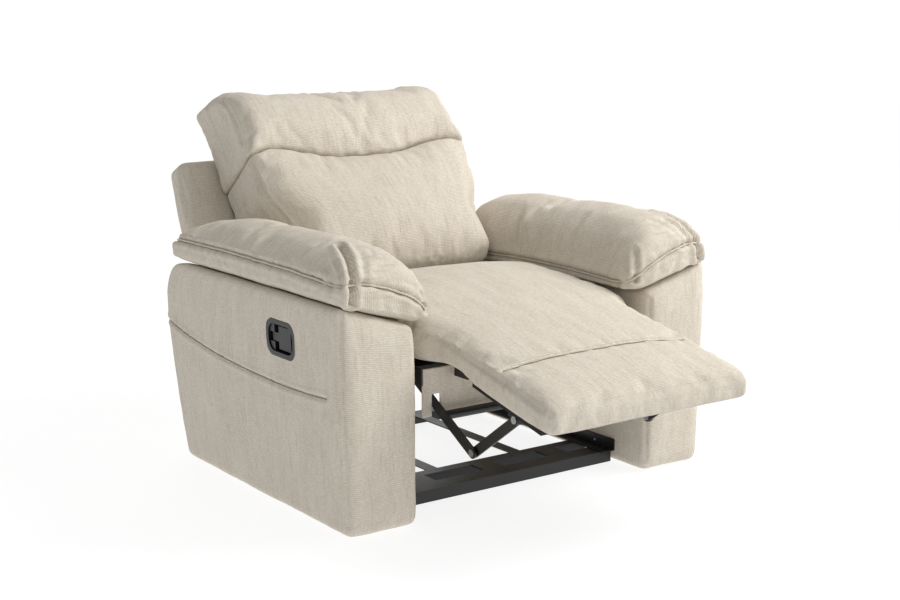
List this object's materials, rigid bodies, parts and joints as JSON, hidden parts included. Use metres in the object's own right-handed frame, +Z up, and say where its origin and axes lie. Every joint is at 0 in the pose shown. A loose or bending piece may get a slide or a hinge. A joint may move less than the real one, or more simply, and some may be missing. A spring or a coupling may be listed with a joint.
{
  "type": "recliner armchair",
  "caption": "Padded recliner armchair with a lever in the arm, a leaning back on a sliding seat and a hinged leg rest that folds down between the arms.",
  "frame": {"origin": "on the floor, under the middle of the chair's box with the footrest out and the back part reclined", "axes": "+Z up; the sitter faces -Y; +X is to the sitter's left, and the lever is in the -X arm"},
  "size_m": [1.025, 1.3739, 0.8681],
  "materials": {
    "chenille": "ribbed cream chenille over foam",
    "plywood": "raw plywood",
    "black_steel": "semi-gloss black powder coat",
    "zinc_steel": "zinc plated",
    "spring_steel": "oiled spring wire",
    "black_plastic": "fine-textured moulded plastic",
    "nylon": "natural nylon",
    "dust_cloth": "black non-woven",
    "cable_jacket": "smooth black"
  },
  "bodies": {
    "base": {"arm_frame_left": "plywood", "arm_frame_right": "plywood", "arm_cover_left": "chenille", "arm_cover_right": "chenille", "arm_pad_left": "chenille", "arm_pad_right": "chenille", "arm_glides": "black_plastic", "arm_bolts": "zinc_steel", "base_front_rail": "black_steel", "base_middle_rail": "black_steel", "base_rear_rail": "black_steel", "base_straps": "black_steel", "base_angle_left": "black_steel", "base_angle_right": "black_steel", "slide_track_left": "black_steel", "slide_track_right": "black_steel", "lever_bezel": "black_plastic", "lever_pivot_pin": "zinc_steel", "lever_return_spring": "spring_steel", "release_cable": "cable_jacket"},
    "lever": {"release_paddle": "black_plastic"},
    "carriage": {"seat_side_plate_left": "black_steel", "seat_side_plate_right": "black_steel", "seat_front_rail": "black_steel", "seat_rear_rail": "black_steel", "slide_blocks": "nylon", "seat_springs": "spring_steel", "seat_cushion": "chenille", "front_apron": "chenille", "dust_cover": "dust_cloth", "link_hangers": "black_steel", "link_hanger_pins": "zinc_steel", "knee_brackets": "black_steel"},
    "lower_links": {"lower_links": "black_steel", "link_cross_tube": "black_steel", "link_pins": "zinc_steel"},
    "struts": {"strut_left": "black_steel", "strut_right": "black_steel"},
    "footrest": {"footrest_board": "plywood", "leg_cushion": "chenille", "strut_brackets": "black_steel", "strut_pins": "zinc_steel", "knee_arms": "black_steel", "knee_pins": "zinc_steel"},
    "back": {"back_brackets": "black_steel", "back_hinge_pins": "zinc_steel", "back_posts": "plywood", "back_rails": "plywood", "back_springs": "spring_steel", "back_shell": "chenille", "lumbar_cushion": "chenille", "head_cushion": "chenille"}
  },
  "joints": [
    {"name": "back_recline", "type": "hinge", "parent": "carriage", "child": "back", "pos_m": [0, 0.28, 0.36], "axis": [-1, 0, 0], "range_deg": [-24, 12]},
    {"name": "seat_slide", "type": "slide", "parent": "base", "child": "carriage", "axis": [0, 1, 0], "range_m": [-0.0301, 0.0601]},
    {"name": "footrest_fold", "type": "hinge", "parent": "carriage", "child": "footrest", "pos_m": [0, -0.345, 0.385], "axis": [1, 0, 0], "range_deg": [0, 76]},
    {"name": "link_fold", "type": "hinge", "parent": "carriage", "child": "lower_links", "pos_m": [0, -0.204, 0.283], "axis": [1, 0, 0], "range_deg": [-0.01, 76.01]},
    {"name": "strut_fold", "type": "hinge", "parent": "lower_links", "child": "struts", "pos_m": [0, -0.408, 0.169], "axis": [1, 0, 0], "range_deg": [-76.01, 0.01]},
    {"name": "release_pull", "type": "hinge", "parent": "base", "child": "lever", "pos_m": [-0.49467, -0.038, 0.38333], "axis": [0.0369, 0, -0.9993], "range_deg": [0, 25], "stiffness_Nm_per_rad": 0.4, "springref_deg": -5.73}
  ],
  "couplings": [
    {"joint": "seat_slide", "follows": "back_recline", "m_per_rad": -0.14324},
    {"joint": "link_fold", "follows": "footrest_fold", "ratio": 1},
    {"joint": "strut_fold", "follows": "footrest_fold", "ratio": -1}
  ]
}
